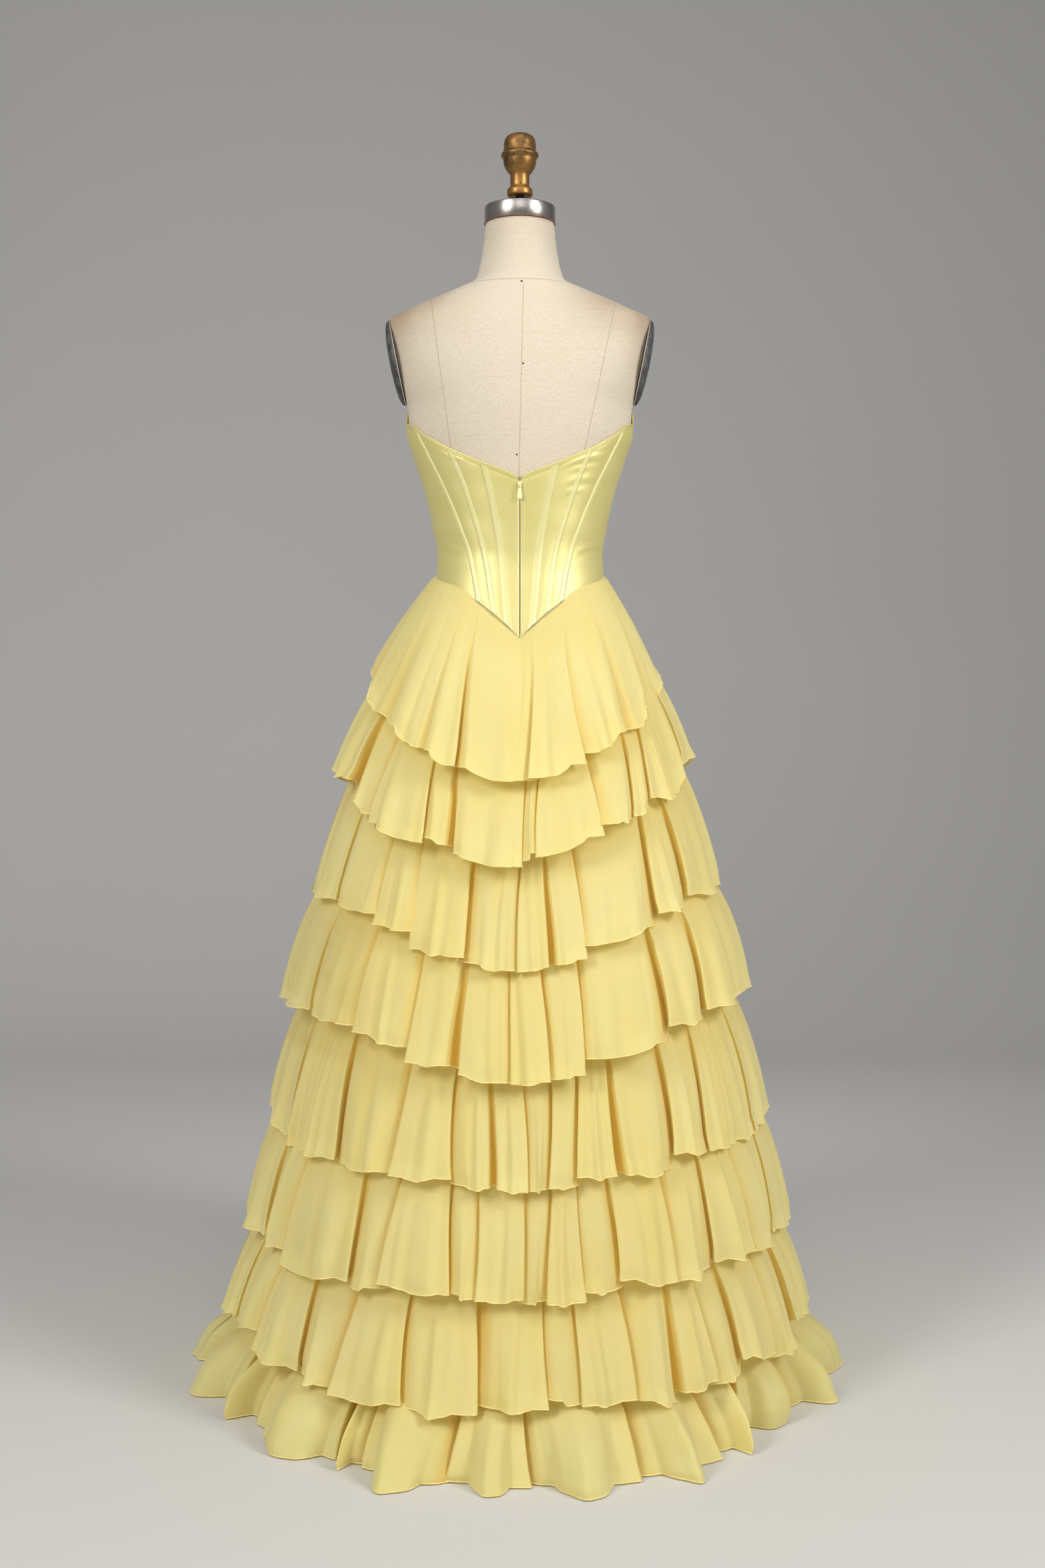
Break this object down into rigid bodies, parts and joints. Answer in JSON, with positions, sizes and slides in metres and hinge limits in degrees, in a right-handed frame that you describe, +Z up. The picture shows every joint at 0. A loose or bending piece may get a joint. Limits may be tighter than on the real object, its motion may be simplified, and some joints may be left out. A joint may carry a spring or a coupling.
{
  "type": "tiered chiffon prom gown on a limbless dress form",
  "caption": "Strapless zip-back gown with a boned satin bodice and a floor-length skirt of gathered chiffon tiers, on a linen dress form with a neck cap and turned finial",
  "frame": {"origin": "on the floor, at the centre of the underside of the stand's base", "axes": "+Z up, +X to the gown's right as its back is seen, so the zip faces -Y and the plain front faces +Y"},
  "size_m": [0.9543, 0.9479, 1.7674],
  "materials": {
    "satin": "butter yellow satin with a soft sheen",
    "chiffon": "sheer pale yellow chiffon, deeper in the folds",
    "linen": "cream linen, a little dirty at the shoulders",
    "steel": "brushed round the neck",
    "bronze": "worn dark bronze",
    "dark_metal": "dark grey, speckled",
    "stand": "plain dark paint, hidden by the skirt",
    "zip_metal": "yellow enamelled metal"
  },
  "bodies": {
    "gown_on_form": {"torso": "linen", "arm_plate_left": "dark_metal", "arm_plate_right": "dark_metal", "neck_cap": "steel", "finial_stem": "dark_metal", "finial": "bronze", "stand_pole": "stand", "stand_base": "stand", "bodice_back_centre_left": "satin", "bodice_back_centre_right": "satin", "bodice_back_inner_left": "satin", "bodice_back_inner_right": "satin", "bodice_back_middle_left": "satin", "bodice_back_middle_right": "satin", "bodice_back_side_left": "satin", "bodice_back_side_right": "satin", "bodice_front_centre": "satin", "bodice_front_side_left": "satin", "bodice_front_side_right": "satin", "boning_inner_left": "satin", "boning_inner_right": "satin", "boning_middle_left": "satin", "boning_middle_right": "satin", "boning_outer_left": "satin", "boning_outer_right": "satin", "binding_back_left": "satin", "binding_back_right": "satin", "binding_front": "satin", "foundation_back": "chiffon", "foundation_front": "chiffon", "tier_1_back_left": "chiffon", "tier_1_back_right": "chiffon", "tier_1_front": "chiffon", "tier_2_back": "chiffon", "tier_2_front": "chiffon", "tier_3_back": "chiffon", "tier_3_front": "chiffon", "tier_4_back": "chiffon", "tier_4_front": "chiffon", "tier_5_back": "chiffon", "tier_5_front": "chiffon", "tier_6_back": "chiffon", "tier_6_front": "chiffon", "tier_7_back": "chiffon", "tier_7_front": "chiffon", "tier_8_back": "chiffon", "tier_8_front": "chiffon", "zip_chain": "zip_metal", "zip_slider": "zip_metal"},
    "pull_tab": {"zip_pull": "zip_metal"}
  },
  "joints": [
    {"name": "zip_pull", "type": "hinge", "parent": "gown_on_form", "child": "pull_tab", "pos_m": [0, -0.10161, 1.259], "axis": [-1, 0, 0], "range_deg": [0, 165]}
  ]
}
